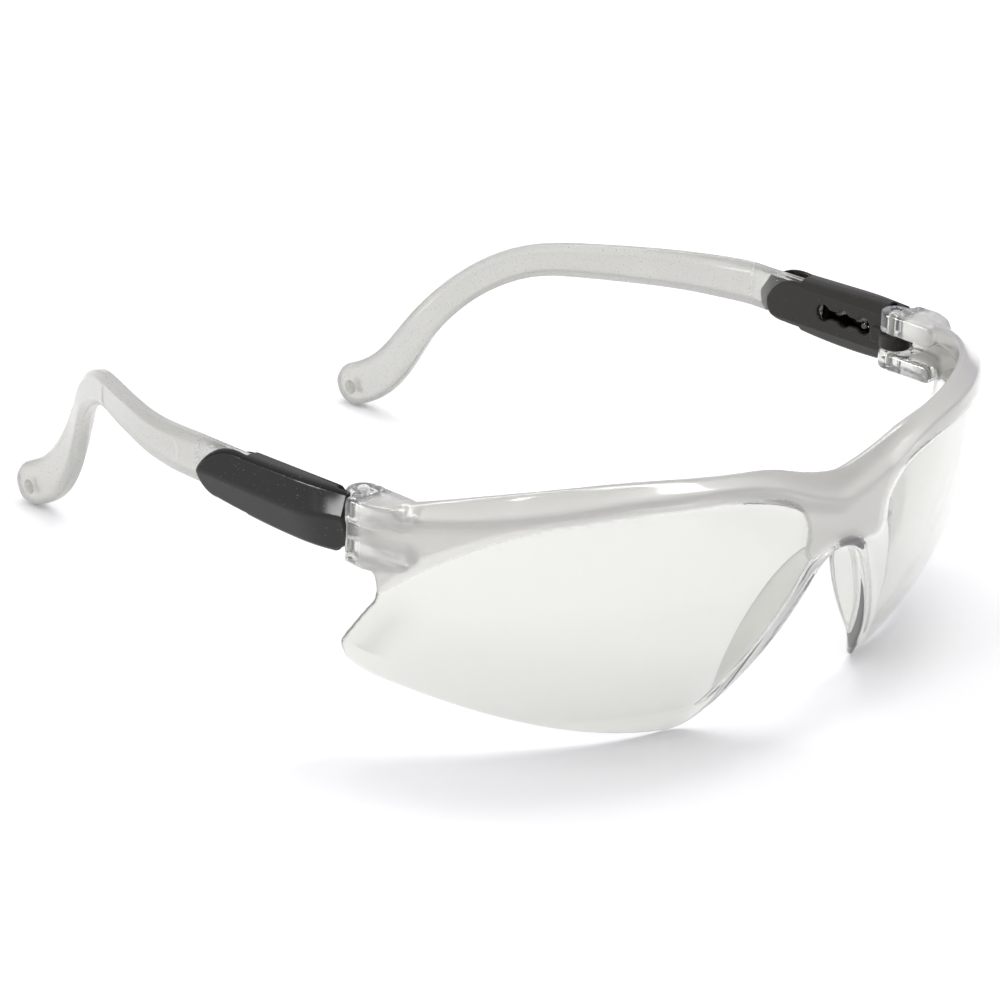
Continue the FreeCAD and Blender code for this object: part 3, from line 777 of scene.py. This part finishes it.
def polycarbonate():
    """Polished clear plastic, finely frosted where the paint says so."""
    material, nodes, links, shader = new_material("clear_polycarbonate")
    set_sockets(shader, IOR=1.585, Coat_Weight=0.9, Coat_Roughness=0.07, Coat_IOR=1.65)
    frost = attribute_of(nodes, "frost")
    grain = noise_of(nodes, links, 0.16, 1.0)
    links.new(colour_mix(nodes, links, frost, CLEAR, FROSTED), shader.inputs["Base Color"])
    smooth = mapped(nodes, links, frost, 0.012, 0.34)
    uneven = math_of(nodes, links, "MULTIPLY", frost, mapped(nodes, links, grain, -0.08, 0.08))
    links.new(math_of(nodes, links, "ADD", smooth, uneven), shader.inputs["Roughness"])
    links.new(mapped(nodes, links, frost, 1.0, 0.6), shader.inputs["Transmission Weight"])
    strength = mapped(nodes, links, frost, 0.0, 0.35)
    links.new(bump_of(nodes, links, grain, strength, 0.02), shader.inputs["Normal"])
    return material


def frosted_nylon():
    """The arms' satin clear plastic."""
    material, nodes, links, shader = new_material("frosted_clear_plastic")
    set_sockets(shader, IOR=1.5, Coat_Weight=0.2, Coat_Roughness=0.12)
    grain = noise_of(nodes, links, 0.2, 1.0)
    cloud = noise_of(nodes, links, 9.0)
    shade = [channel * ARM_SHADE for channel in ARM_COLOUR]
    links.new(colour_mix(nodes, links, cloud, ARM_COLOUR, shade), shader.inputs["Base Color"])
    frost = attribute_of(nodes, "frost")
    links.new(mapped(nodes, links, frost, 1.0, 0.62), shader.inputs["Transmission Weight"])
    smooth = mapped(nodes, links, frost, 0.08, 0.29)
    uneven = mapped(nodes, links, grain, -0.04, 0.04)
    links.new(math_of(nodes, links, "ADD", smooth, uneven), shader.inputs["Roughness"])
    links.new(bump_of(nodes, links, grain, 0.3, 0.02), shader.inputs["Normal"])
    return material


def black_plastic():
    """Glossy black outside, satin brown-black inside."""
    material, nodes, links, shader = new_material("black_plastic")
    set_sockets(shader, IOR=1.5, Specular_IOR_Level=0.26)
    satin = attribute_of(nodes, "satin")
    grain = noise_of(nodes, links, 0.14, 2.0)
    speck = noise_of(nodes, links, 0.3, 0.0)
    dust = mapped(nodes, links, speck, 0.0, 1.0, 0.80, 0.83)
    tint = colour_mix(nodes, links, satin, GLOSSY_BLACK, SATIN_BLACK)
    links.new(colour_mix(nodes, links, dust, tint, DUST), shader.inputs["Base Color"])
    rough = mapped(nodes, links, satin, 0.14, 0.46)
    uneven = mapped(nodes, links, grain, -0.03, 0.03)
    links.new(math_of(nodes, links, "ADD", rough, uneven), shader.inputs["Roughness"])
    strength = mapped(nodes, links, satin, 0.03, 0.3)
    links.new(bump_of(nodes, links, grain, strength, 0.02), shader.inputs["Normal"])
    return material


def drawn_steel():
    """Plain steel with fine lines round it."""
    material, nodes, links, shader = new_material("pin_steel")
    set_sockets(shader, Metallic=1.0)
    place = nodes.new("ShaderNodeTexCoord")
    stretch = nodes.new("ShaderNodeMapping")
    stretch.inputs["Scale"].default_value = STEEL_GRAIN
    lines = nodes.new("ShaderNodeTexNoise")
    set_sockets(lines, Scale=1.0, Detail=2.0)
    links.new(place.outputs["Object"], stretch.inputs["Vector"])
    links.new(stretch.outputs["Vector"], lines.inputs["Vector"])
    links.new(colour_mix(nodes, links, lines.outputs["Fac"], DARK_STEEL, LIGHT_STEEL),
              shader.inputs["Base Color"])
    links.new(mapped(nodes, links, lines.outputs["Fac"], 0.22, 0.42), shader.inputs["Roughness"])
    links.new(bump_of(nodes, links, lines.outputs["Fac"], 0.3, 0.01), shader.inputs["Normal"])
    return material


def pale_floor():
    material, nodes, links, shader = new_material("pale_floor")
    set_sockets(shader, Specular_IOR_Level=0.0)
    cloud = noise_of(nodes, links, 60.0)
    links.new(colour_mix(nodes, links, cloud, FLOOR_DARK, FLOOR_LIGHT),
              shader.inputs["Base Color"])
    links.new(mapped(nodes, links, cloud, 0.85, 0.95), shader.inputs["Roughness"])
    return material


# ------------------------------------------------------------------------- assembly

def place(piece, material, body, node, slot):
    piece.data.materials.clear()
    piece.data.materials.append(material)
    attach(piece, body)
    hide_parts(node)


steel, black, satin_clear = drawn_steel(), black_plastic(), frosted_nylon()
place(make_front(), polycarbonate(), "front", "lens_shield", "clear_polycarbonate")

left_sleeve = make_sleeve()
left_arm = make_arm()
finish_arm(left_arm)
for side in ("left", "right"):
    if side == "left":
        sleeve, arm, pin = left_sleeve, left_arm, make_pin("left_pin_shank")
    else:
        sleeve = mirrored(left_sleeve, "right_sleeve_shell")
        arm = mirrored(left_arm, "right_arm_bar")
        pin = mirrored(bpy.data.objects["left_pin_shank"], "right_pin_shank")
    place(sleeve, black, f"{side}_temple", f"{side}_sleeve", "black_plastic")
    place(arm, satin_clear, f"{side}_extension", f"{side}_arm", "frosted_clear_plastic")
    place(pin, steel, "front", f"{side}_hinge_pin", "pin_steel")


# ------------------------------------------------------------------- stage and light

FLOOR_SIZE = 6.0
FLOOR_DROP = 0.0002
LAMP_AIM = (0, 0, 0.02)
# Each lamp: azimuth, elevation, distance, size and watts.
LAMPS = {
    "wedge_light": (80, 72, 1.0, (0.2, 0.44), 1.8),
    "spot_light": (-77, 74, 1.0, (0.05, 0.1), 0.22),
    "rear_light": (165, 66, 1.0, (0.45, 0.2), 1.4),
    "side_light": (-122, 7, 0.9, (0.2, 0.12), 1.4),
}
WORLD_LOW = (0.40, 0.385, 0.45, 1)
WORLD_HIGH = (1.0, 1.0, 1.0, 1)
WORLD_STRENGTH = 1.26
# The camera: where it stands, how it rolls, and how far its aim is moved sideways
# and down from a point above the origin.
CAMERA_AZIMUTH, CAMERA_ELEVATION, CAMERA_ROLL = -45.32, 22.16, 1.75
CAMERA_DISTANCE = 0.717
CAMERA_AIM = (0, 0, 0.025)
CAMERA_ASIDE, CAMERA_DOWN = 0.00174, 0.00989
FOCAL_LENGTH = 144.94


def direction(azimuth, elevation):
    """Towards a viewer or lamp; azimuth 0 is in front, and 90 at the wearer's left."""
    turn, lift = math.radians(azimuth), math.radians(elevation)
    return Vector((math.sin(turn) * math.cos(lift), -math.cos(turn) * math.cos(lift),
                   math.sin(lift)))


def make_floor():
    bpy.ops.mesh.primitive_plane_add(size=FLOOR_SIZE, location=(0, 0, -FLOOR_DROP))
    floor = bpy.context.object
    floor.name = "floor"
    floor.data.materials.append(pale_floor())


def softbox(name, azimuth, elevation, distance, size, watts):
    """A rectangular lamp aimed at the glasses."""
    lamp = bpy.data.lights.new(name, "AREA")
    lamp.shape = "RECTANGLE"
    lamp.size, lamp.size_y = size
    lamp.energy = watts
    back = direction(azimuth, elevation)
    item = bpy.data.objects.new(name, lamp)
    item.location = Vector(LAMP_AIM) + back * distance
    item.rotation_mode = "QUATERNION"
    item.rotation_quaternion = back.to_track_quat("Z", "Y")
    bpy.context.scene.collection.objects.link(item)


def make_world():
    """A pale surround, white overhead and a darker lilac at the horizon and below."""
    world = bpy.data.worlds.new("studio")
    world.use_nodes = True
    nodes, links = world.node_tree.nodes, world.node_tree.links
    place = nodes.new("ShaderNodeTexCoord")
    split = nodes.new("ShaderNodeSeparateXYZ")
    ramp = nodes.new("ShaderNodeValToRGB")
    links.new(place.outputs["Generated"], split.inputs["Vector"])
    links.new(split.outputs["Z"], ramp.inputs["Fac"])
    ramp.color_ramp.elements[0].color = WORLD_LOW
    ramp.color_ramp.elements[1].color = WORLD_HIGH
    links.new(ramp.outputs["Color"], nodes["Background"].inputs["Color"])
    nodes["Background"].inputs["Strength"].default_value = WORLD_STRENGTH
    bpy.context.scene.world = world


def make_camera():
    """A long lens, above and to the wearer's right of the front."""
    azimuth, roll = math.radians(CAMERA_AZIMUTH), math.radians(CAMERA_ROLL)
    back = direction(CAMERA_AZIMUTH, CAMERA_ELEVATION)
    right = Vector((math.cos(azimuth), math.sin(azimuth), 0))
    up = back.cross(right)
    target = Vector(CAMERA_AIM) + right * CAMERA_ASIDE - up * CAMERA_DOWN
    lens = bpy.data.cameras.new("camera")
    lens.sensor_width = 36.0
    lens.lens = FOCAL_LENGTH
    lens.clip_start, lens.clip_end = 0.01, 20.0
    camera = bpy.data.objects.new("camera", lens)
    camera.location = target + back * CAMERA_DISTANCE
    side = right * math.cos(roll) + up * math.sin(roll)
    upright = up * math.cos(roll) - right * math.sin(roll)
    camera.rotation_mode = "QUATERNION"
    camera.rotation_quaternion = Matrix((side, upright, back)).transposed().to_quaternion()
    bpy.context.scene.collection.objects.link(camera)
    bpy.context.scene.camera = camera


make_floor()
make_world()
for lamp_name, settings in LAMPS.items():
    softbox(lamp_name, *settings)
make_camera()
bpy.context.scene.view_settings.view_transform = "Standard"
